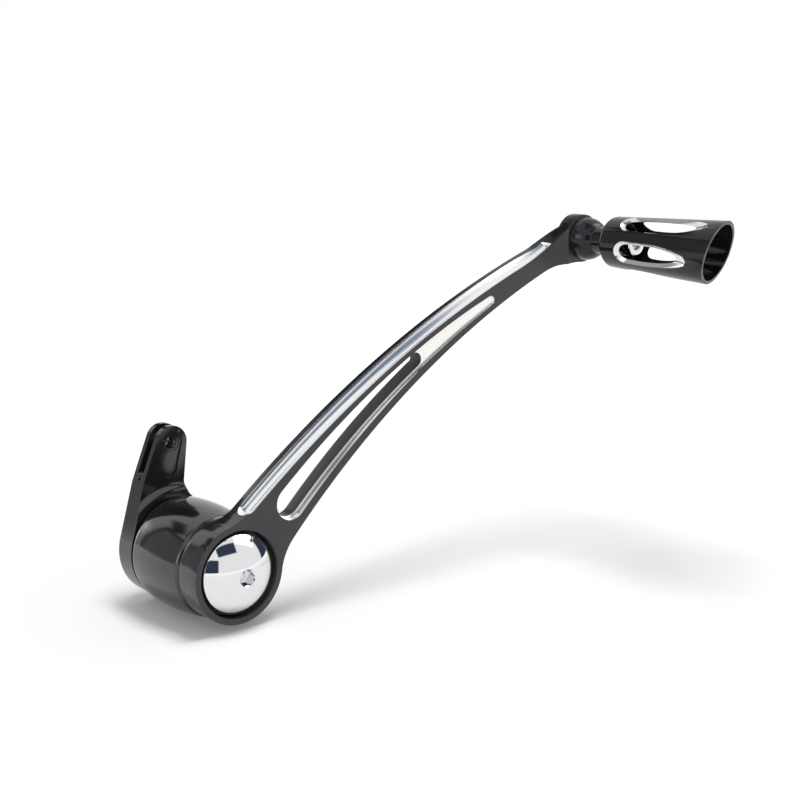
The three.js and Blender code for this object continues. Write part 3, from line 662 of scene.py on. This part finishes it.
def pocket_cutter():
    """The pocket's floor is one plane that climbs from the heel to the tip, with a round corner."""
    outline, heel, tip = crescent(POCKET_TOP, POCKET_BOTTOM, POCKET_HEEL, POCKET_TIP)
    cutter = extruded("pocket_cutter", outline, 0, 1, POCKET_CUT)
    clear = 4  # the cutter's front stays off the face, so that only its floor's corner is rounded
    run = Vector((tip[0] - heel[0], tip[1] - heel[1]))
    for vertex in cutter.data.vertices:
        place = Vector((vertex.co.x / MM - heel[0], vertex.co.z / MM - heel[1]))
        part = place.dot(run) / run.length_squared
        floor = POCKET_DEPTH_HEEL + (POCKET_DEPTH_TIP - POCKET_DEPTH_HEEL) * part
        vertex.co.y = (FACE + floor if vertex.co.y > 0.5 * MM else FACE - clear) * MM
    soften(cutter, POCKET_CORNER, segments=8, angle=50)
    return cutter


def ring_outline(outline):
    """The whole ring, on the same points as the arm's outline where they meet."""
    shared = [point for point in outline[1:] if math.hypot(*point) < RING[2] + 0.001]
    start, end = heading(RING, outline[0]), heading(RING, shared[0])
    return arc(RING, start, end, spacing=1.0) + shared


def make_arm():
    outline = arm_outline()
    arm = extruded("arm_fine", outline, FACE - BOSS_PROUD - PAST, RING_BACK + PAST, ARM_EDGE)
    combine(arm, side_profile(), "INTERSECT")
    within = FACE + ARM_THICKNESS / 2
    combine(arm, extruded("ring", ring_outline(outline), within, RING_BACK, ARM_EDGE), "UNION")
    floor = FACE + RECESS_DEPTH
    combine(arm, rod(RECESS_RADIUS, FACE - PAST, floor, SATIN, facets=FINE))
    combine(arm, rod(HUB_HOLE, floor - PAST, RING_BACK + PAST, SATIN))
    combine(arm, rod(PEG_SCREW_HOLE, FACE - BOSS_PROUD - PAST, FACE + BOSS_BACK + PAST, SATIN, BOSS))
    slot, _, _ = crescent(SLOT_TOP, SLOT_BOTTOM, SLOT_HEEL, SLOT_TIP)
    combine(arm, extruded("slot", slot, FACE - PAST, RING_BACK + PAST, SATIN))
    relief, _, _ = crescent(POCKET_TOP, POCKET_BOTTOM, POCKET_HEEL, POCKET_TIP)
    back = FACE + ARM_THICKNESS
    combine(arm, extruded("relief", relief, back - BACK_RELIEF, back + PAST, SATIN))
    soften(arm, 0.4)
    combine(arm, pocket_cutter())
    combine(arm, flute_cutter())
    present(arm, "lever", "satin_black", "arm")


# -------------------------------------------------------------- barrel and hub
def barrel_radius(y):
    """The outer radius: a parabola along the axis."""
    part = (y - BARREL_LOW.y) / (BARREL_HIGH.y - BARREL_LOW.y)
    slope = BARREL_RADIUS_INBOARD - BARREL_RADIUS_OUTBOARD
    return BARREL_RADIUS_OUTBOARD + slope * part + 4 * BARREL_CROWN * part * (1 - part)


def make_barrel():
    front, back = BARREL_LOW.y, BARREL_HIGH.y
    first, last = front + ROUND_OUTBOARD[0], back - ROUND_INBOARD[0]

    def rounded_edge(start, end, depth):
        """A quarter of an ellipse."""
        turns = [math.radians(7.5 * k) for k in range(12)]
        return [(barrel_radius(end) - depth * (1 - math.sin(t)), start + (end - start) * (1 - math.cos(t)))
                for t in turns]
    steps = 48
    crown = [first + (last - first) * k / steps for k in range(steps + 1)]
    outboard = rounded_edge(front, first, ROUND_OUTBOARD[1])
    inboard = rounded_edge(back, last, ROUND_INBOARD[1])
    profile = [(BARREL_BORE, front), *outboard, *((barrel_radius(y), y) for y in crown),
               *reversed(inboard), (BARREL_BORE, back)]
    present(turned("barrel_fine", profile, GLOSS), "lever", "gloss_black", "barrel")


def clevis_outline():
    hub = (0, 0, CLEVIS_HIGH.x)
    waist_x = CLEVIS_WAIST + CLEVIS_FILLET
    waist = (waist_x, math.sqrt((hub[2] + CLEVIS_FILLET) ** 2 - waist_x ** 2), CLEVIS_FILLET)
    knee_span = math.hypot(EAR[0] - CLEVIS_KNEE[0], EAR[1] - CLEVIS_KNEE[1])
    ear_left = heading(EAR, CLEVIS_KNEE) - math.acos(EAR[2] / knee_span)
    hub_left = heading(hub, CLEVIS_KNEE) + math.acos(hub[2] / math.hypot(*CLEVIS_KNEE))
    outline = arc(hub, hub_left, heading(hub, waist), spacing=1.0)
    outline += arc(waist, heading(waist, hub), math.pi, True, 0.8)
    outline += arc(EAR, 0, ear_left, spacing=0.6)
    return outline + [CLEVIS_KNEE]


def clevis_slot_cutter():
    """The gap between the ears, with a round floor."""
    low = CLEVIS_LOW.y + EAR_SET_BACK + EAR_THICKNESS
    high = CLEVIS_HIGH.y - EAR_THICKNESS
    half, middle = (high - low) / 2, (high + low) / 2
    top, reach = 90, 40  # both outside the lever
    outline = arc((middle, CLEVIS_SLOT_FLOOR + half, half), math.pi, 2 * math.pi, spacing=0.4)
    outline += [(high, CLEVIS_SLOT_FLOOR + half), (high, top), (low, top)]
    ends = ([(x, y, z) for y, z in outline] for x in (-reach, reach))
    return prism("clevis_slot", *ends, GLOSS)


def clevis_drill():
    """A small hole in the lever's edge, just under the gap between the ears."""
    radius, depth = 0.9, 8
    drill = rod(radius, 0, depth, GLOSS, facets=24)
    middle = (CLEVIS_LOW.y + CLEVIS_HIGH.y) / 2
    place = Vector((CLEVIS_KNEE[0] - depth / 2, middle, CLEVIS_KNEE[1] + 2)) * MM
    for vertex in drill.data.vertices:
        vertex.co = Vector((vertex.co.y, vertex.co.x, vertex.co.z)) + place
    return outward(drill)


def make_clevis():
    front, back = CLEVIS_LOW.y, CLEVIS_HIGH.y
    clevis = extruded("clevis_lever_fine", clevis_outline(), front, back, GLOSS)
    far = front + EAR_SET_BACK
    middle = (EAR_STEP_INNER + EAR_STEP_OUTER) / 2
    sweep = bezier((EAR_STEP_OUTER, far), (middle, far), (middle, front), (EAR_STEP_INNER, front))
    rim = 90  # outside the lever
    step = [(EAR_STEP_INNER, front - PAST), (rim, front - PAST), (rim, far), (EAR_STEP_OUTER, far), *sweep]
    combine(clevis, turned("ear_step", step, GLOSS))
    combine(clevis, clevis_slot_cutter())
    half, drop = EAR_POCKET_HALF, EAR_POCKET_DROP
    recess = arc((EAR[0], EAR[1], half), 0, math.pi, spacing=0.5)
    recess += arc((EAR[0] - EAR_POCKET_LEAN * drop, EAR[1] - drop, half), math.pi, 2 * math.pi, spacing=0.5)
    recess_floor = far + EAR_POCKET_DEPTH
    combine(clevis, extruded("ear_recess", recess, far - 2 * PAST, recess_floor, GLOSS))
    pin_rim = CLEVIS_PIN_RADIUS + CLEVIS_PIN_RIM
    combine(clevis, rod(pin_rim, far - PAST, recess_floor + CLEVIS_PIN_RIM_DEPTH, GLOSS, EAR))
    combine(clevis, rod(CLEVIS_PIN_RADIUS, front - PAST, back + PAST, GLOSS, EAR))
    combine(clevis, rod(HUB_HOLE, front - PAST, back + PAST, GLOSS))
    combine(clevis, clevis_drill())
    seat = back - SCREW_HEAD_HEIGHT - 0.5
    for angle in SCREW_ANGLES:
        place = around(SCREW_CIRCLE, math.radians(angle))
        combine(clevis, rod(SCREW_HEAD + GAP, seat, back + PAST, GLOSS, place, facets=48))
    soften(clevis, 0.45)
    present(clevis, "lever", "gloss_black", "clevis_lever")


# ----------------------------------------------------------- shaft and screws
def make_shaft():
    low, high = SHAFT_LOW.y, SHAFT_HIGH.y
    bore, stem, flange, thickness = 6.3, 9.5, SHAFT_HIGH.x, 4.9
    profile = rounded(
        (bore, low, 0.5), (stem, low, 0.5), (stem, high - thickness, 0.3), (flange, high - thickness, 0.5),
        (flange, high, 0.6), (bore, high, 0.7),
    )
    present(turned("pivot_shaft_fine", profile, STEEL), "pivot", "steel", "pivot_shaft")


def make_cap():
    rim, top = FACE + CAP_SUNK, CAP_LOW.y
    dome_rim = CAP_RADIUS - CAP_SHOULDER
    dome_radius = (dome_rim ** 2 + CAP_RISE ** 2) / (2 * CAP_RISE)
    dome_angle = math.asin(dome_rim / dome_radius)
    steps = 40
    angles = [dome_angle * k / steps for k in range(steps)]
    dome = [(dome_radius * math.sin(a), top + dome_radius * (1 - math.cos(a))) for a in angles]
    fall = CAP_SHOULDER / math.tan(dome_angle)
    shoulder = bezier((dome_rim, rim), (CAP_RADIUS - 0.35 * CAP_SHOULDER, rim + 0.65 * CAP_SHOULDER),
                      (CAP_RADIUS, rim + fall), (CAP_RADIUS, rim + 1.6 * CAP_SHOULDER), steps=8)
    back, stem, end = rim + CAP_SKIRT, 6, CAP_HIGH.y
    edge = rounded((CAP_RADIUS, back, 0.5), (stem, back, 0), (stem, end, 0.5), (0, end, 0))
    cap = turned("cap_screw_fine", [*dome, (dome_rim, rim), *shoulder, *edge[1:]], CHROME)
    combine(cap, hexagon(CAP_HEX, top - PAST, top + CAP_HEX_DEPTH, CHROME))
    mouth = [(0, top - PAST), (CAP_COUNTERSINK + PAST, top - PAST), (0, top + CAP_COUNTERSINK)]
    combine(cap, turned("cap_mouth", mouth, CHROME, facets=MEDIUM))
    soften(cap, 0.2)
    present(cap, "pivot", "chrome", "cap_screw", angle=40)


def socket_screw(name, head, shank, height, length, hex_size, seat, direction, material, centre):
    """A socket-head screw along Y. Its head stands from the seat in the direction of y given."""
    top = seat + direction * height
    corners = [(0, seat - direction * length, 0), (shank, seat - direction * length, 0.5), (shank, seat, 0),
               (head, seat, 0.3), (head, top, 0.6), (0, top, 0)]
    screw = turned(name, rounded(*corners), material, centre, facets=MEDIUM)
    floor = top - direction * (0.5 * hex_size + 0.5)
    combine(screw, hexagon(hex_size, floor, top + direction, material, centre))
    soften(screw, 0.18, segments=2, angle=50)
    return screw


def make_hub_screws():
    seat = CLEVIS_HIGH.y - SCREW_HEAD_HEIGHT - 0.2
    for i, angle in enumerate(SCREW_ANGLES, start=1):
        low, _ = cad_box(f"hub_screw_{i}")
        place = around(SCREW_CIRCLE, math.radians(angle))
        screw = socket_screw(f"hub_screw_{i}_fine", SCREW_HEAD, SCREW_SHANK, SCREW_HEAD_HEIGHT,
                             seat - low.y, SCREW_HEX, seat, 1, STEEL, place)
        present(screw, "lever", "steel", f"hub_screw_{i}", angle=40)


# -------------------------------------------------------------------- toe peg
def make_standoff():
    back, front = STANDOFF_HIGH.y, STANDOFF_LOW.y
    centre = FACE - BALL_CENTRE
    start = math.asin((back - centre) / BALL_RADIUS)
    end = -math.acos(NECK_RADIUS / BALL_RADIUS)
    steps = 30
    angles = [start + (end - start) * k / steps for k in range(1, steps)]
    ball = [(BALL_RADIUS * math.cos(a), centre + BALL_RADIUS * math.sin(a)) for a in angles]
    neck = rounded(
        (*ball[-1], 0), (NECK_RADIUS, centre + BALL_RADIUS * math.sin(end), 1.2),
        (NECK_RADIUS, front + 3.2, 1.5), (NECK_RADIUS + 1, front + 1.6, 0.6), (NECK_RADIUS + 1, front, 0.4),
        (PEG_SCREW_HOLE, front, 0),
    )
    seat = [(PEG_SCREW_HOLE, back), (BALL_RADIUS * math.cos(start), back)]
    standoff = turned("peg_standoff_fine", [*seat, *ball, *neck[1:]], PEG_GLOSS, BOSS)
    present(standoff, "lever", "gloss_black", "peg_standoff", angle=40)


def peg_radius(distance):
    return PEG_BASE_RADIUS + (PEG_END_RADIUS - PEG_BASE_RADIUS) * distance / PEG_LENGTH


def peg_slot_cutter(angle, length):
    """A bullet-shaped tool: round at the base end, tapering towards the open end."""
    tip_radius = SLOT_CUTTER_OFFSET - peg_radius(length)
    start = FACE - PEG_BASE - PEG_SLOT_START
    steps = 24
    profile = [(0, start - length - 10)]
    for k in range(steps, -1, -1):
        part = k / steps
        profile.append((SLOT_CUTTER - (SLOT_CUTTER - tip_radius) * part ** 2.5, start - length * part))
    for k in range(1, 12):
        turn = math.radians(7.5 * k)
        profile.append((SLOT_CUTTER * math.cos(turn), start + SLOT_CUTTER * math.sin(turn)))
    profile.append((0, start + SLOT_CUTTER))
    # the cut faces take the darkened bright cut, whose lower tone is painted shade
    return turned("peg_slot", profile, SHADED_PEG_CUT, around(SLOT_CUTTER_OFFSET, angle, BOSS), facets=72)


def peg_end_cutter():
    """Everything beyond the oblique end."""
    end, slope, size = FACE - PEG_BASE - PEG_LENGTH, PEG_SLANT / PEG_END_RADIUS, 60
    corners = [(sx * size, sz * size) for sx, sz in ((-1, -1), (1, -1), (1, 1), (-1, 1))]

    def oblique(x, z):
        return end - slope * (x * math.cos(PEG_SLANT_ANGLE) + z * math.sin(PEG_SLANT_ANGLE))
    vertices = [(BOSS[0] + x, oblique(x, z), BOSS[1] + z) for x, z in corners]
    vertices += [(BOSS[0] + x, end - 2 * size, BOSS[1] + z) for x, z in corners]
    faces = [(0, 1, 2, 3), (7, 6, 5, 4)] + [(i, 4 + i, 4 + (i + 1) % 4, (i + 1) % 4) for i in range(4)]
    return new_object("peg_end", vertices, faces, PEG_GLOSS)


def make_peg():
    base_y = FACE - PEG_BASE
    reach = PEG_LENGTH + PEG_SLANT + 6
    far, floor = base_y - reach, base_y - PEG_FLOOR
    shell = rounded(
        (0, far, 0), (peg_radius(reach), far, 0), (PEG_BASE_RADIUS, base_y, PEG_EDGE), (0, base_y, 0),
        steps=10,
    )
    peg = turned("toe_peg_fine", shell, PEG_GLOSS, BOSS)
    hollow = rounded(
        (0, far - PAST, 0), (peg_radius(reach) - PEG_WALL, far - PAST, 0),
        (peg_radius(PEG_FLOOR) - PEG_WALL, floor, 1.5), (0, floor, 0),
    )
    combine(peg, peg_end_cutter())
    combine(peg, turned("peg_hollow", hollow, PEG_GLOSS, BOSS))
    combine(peg, rod(PEG_SCREW_HOLE, base_y + PAST, floor - PAST, PEG_GLOSS, BOSS))
    soften(peg, 0.15)
    for k in range(PEG_SLOTS):
        angle = PEG_SLOT_ANGLE + 2 * math.pi * k / PEG_SLOTS
        length = PEG_SLOT_MEAN + PEG_SLOT_VARIATION * math.cos(angle - PEG_SLANT_ANGLE)
        combine(peg, peg_slot_cutter(angle, length))
    present(peg, "peg", "gloss_black", "toe_peg")


def make_peg_screw():
    low, high = cad_box("peg_screw")
    seat = low.y + PEG_SCREW_HEIGHT
    screw = socket_screw("peg_screw_fine", PEG_SCREW_HEAD, PEG_SCREW, PEG_SCREW_HEIGHT, high.y - seat,
                         PEG_SCREW_HEX, seat, -1, PEG_CHROME, BOSS)
    present(screw, "lever", "chrome", "peg_screw", angle=40)


def make_peg_washer():
    low, high = cad_box("peg_washer")
    bore, rim = PEG_SCREW_HOLE, high.x - BOSS[0]
    profile = rounded((bore, low.y, 0), (rim, low.y, 0.3), (rim, high.y, 0.3), (bore, high.y, 0))
    present(turned("peg_washer_fine", profile, STEEL, BOSS, MEDIUM), "lever", "steel", "peg_washer")


# ---------------------------------------------------------------- hidden parts
def dress_cad_nodes():
    """The inner parts keep their CAD shapes and take a detailed finish."""
    finishes = {"bush": BRONZE, "thrust_washer": BRONZE, "seal": RUBBER, "wave_washer": STEEL,
                "arm_dowel": STEEL, "clevis_dowel": STEEL}
    for name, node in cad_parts.items():
        for start, material in finishes.items():
            if name.startswith(start):
                node.data.materials.clear()
                node.data.materials.append(material)


# ----------------------------------------------------------------- the studio
def aim(item, target):
    item.rotation_mode = "QUATERNION"
    item.rotation_quaternion = (Vector(target) - item.location).to_track_quat("-Z", "Y")


def add_light(name, place, target, size, power):
    data = bpy.data.lights.new(name, "AREA")
    data.shape = "RECTANGLE"
    data.size, data.size_y = size
    data.energy = power
    light = bpy.data.objects.new(name, data)
    light.location = place
    light.visible_glossy = False
    aim(light, target)
    bpy.context.scene.collection.objects.link(light)


def make_world():
    """A white tent with dark gaps and softboxes for shiny surfaces, and a plain glow for the rest."""
    world = bpy.data.worlds.new("studio")
    bpy.context.scene.world = world
    world.use_nodes = True
    nodes = Nodes(world.node_tree)
    view = nodes.add("ShaderNodeTexCoord").outputs["Generated"]

    def patch(direction, along, half_length, half_width, soft):
        """1 inside a rectangle of the tent, 0 outside. Sizes are tangents of half angles."""
        ahead = Vector(direction).normalized()
        side = Vector(along)
        side = (side - ahead * side.dot(ahead)).normalized()
        forward = nodes.math("MAXIMUM", nodes.dot(view, ahead), 0.001)
        masks = []
        for axis, half in ((side, half_length), (ahead.cross(side), half_width)):
            offset = nodes.math("ABSOLUTE", nodes.math("DIVIDE", nodes.dot(view, axis), forward))
            masks.append(nodes.smooth_range(offset, half - soft, half + soft, 1, 0))
        return nodes.math("MULTIPLY", *masks)

    tent, overhead = (0.97, 0.97, 0.97), (1.1, 1.1, 1.1)
    black, navy, blue, grey = (0.02, 0.02, 0.025), (0.035, 0.05, 0.08), (0.12, 0.18, 0.26), (0.4, 0.4, 0.42)
    softbox, low_softbox = (4.2, 4.2, 4.2), (2.6, 2.6, 2.7)
    colour = nodes.mix(nodes.smooth_range(nodes.dot(view, (0, 0, 1)), 0.9, 1.0, 0, 1), tent, overhead)
    patches = (  # direction, long side, half length, half width, soft edge and shade
        ((-0.3, -0.2, 1), (1, 0, 0), 0.22, 0.17, 0.1, blue),  # overhead: a wedge, widest at its end
        ((-0.06, -0.15, 1), (1, 0, 0), 0.17, 0.3, 0.12, blue),
        ((0.05, -0.05, 1), (1, 0, 0), 0.07, 0.55, 0.06, blue),
        ((-0.04, -0.75, 0.66), (1, 0, 0), 0.34, 0.18, 0.03, navy),  # in front, high up
        ((-0.66, -0.73, 0.18), (0.74, -0.67, 0), 0.3, 0.25, 0.03, navy),  # behind the camera
        ((0.98, -0.12, 0.14), (0, 0, 1), 0.33, 0.21, 0.03, navy),  # beyond the toe
        ((0.63, -0.33, 0.72), (1, 0, 0), 0.32, 0.3, 0.02, softbox),
        ((-0.7, 0.68, 0.21), (0.68, 0.7, 0), 0.36, 0.48, 0.03, black),  # behind the hub
        ((-0.7, 0.68, 0.21), (0.68, 0.7, 0), 0.29, 0.41, 0.03, grey),
        ((-0.3, 0.68, 0.67), (1, 0, 0), 0.15, 0.08, 0.03, black),
        ((0.25, 0.88, 0.41), (1, 0, 0), 0.16, 0.18, 0.03, black),  # behind the arm
        ((-0.11, 0.99, 0.12), (1, 0, 0), 0.24, 0.26, 0.08, low_softbox),
        ((-0.98, 0.15, 0.25), (0, 1, 0), 0.3, 0.16, 0.08, low_softbox),
    )
    for *place, shade in patches:
        colour = nodes.mix(patch(*place), colour, shade)
    ray = nodes.add("ShaderNodeLightPath").outputs
    colour = nodes.mix(ray["Is Glossy Ray"], (0.5, 0.5, 0.5), colour)
    colour = nodes.mix(ray["Is Camera Ray"], colour, (1, 1, 1))
    nodes.link(colour, nodes.tree.nodes["Background"].inputs["Color"])


def make_studio():
    middle = (cad_low + cad_high) / 2
    floor_z, reach = cad_low.z - 0.0003, 6
    corners = [(-reach, -reach), (reach, -reach), (reach, reach), (-reach, reach)]
    vertices = [(x / MM, y / MM, floor_z / MM) for x, y in corners]
    floor = new_object("floor", vertices, [(0, 1, 2, 3)], floor_paper((middle.x, middle.y, floor_z)))
    make_world()
    add_light("overhead", middle + Vector((0.05, -0.1, 1.1)), middle, (0.5, 0.4), 9)


def make_camera():
    data = bpy.data.cameras.new("camera")
    data.lens = 67.5
    data.sensor_width = 36
    camera = bpy.data.objects.new("camera", data)
    camera.location = Vector((-403.3, -688.4, 247.8)) * MM
    azimuth, elevation = math.radians(-39.93), math.radians(12.21)
    back = Vector((math.sin(azimuth) * math.cos(elevation), -math.cos(azimuth) * math.cos(elevation),
                   math.sin(elevation)))
    camera.rotation_mode = "QUATERNION"
    camera.rotation_quaternion = (-back).to_track_quat("-Z", "Y")
    bpy.context.scene.collection.objects.link(camera)
    bpy.context.scene.camera = camera
    bpy.context.scene.view_settings.view_transform = "Standard"


make_camera()
make_arm()
make_barrel()
make_clevis()
make_shaft()
make_cap()
make_hub_screws()
make_standoff()
make_peg()
make_peg_screw()
make_peg_washer()
dress_cad_nodes()
make_studio()
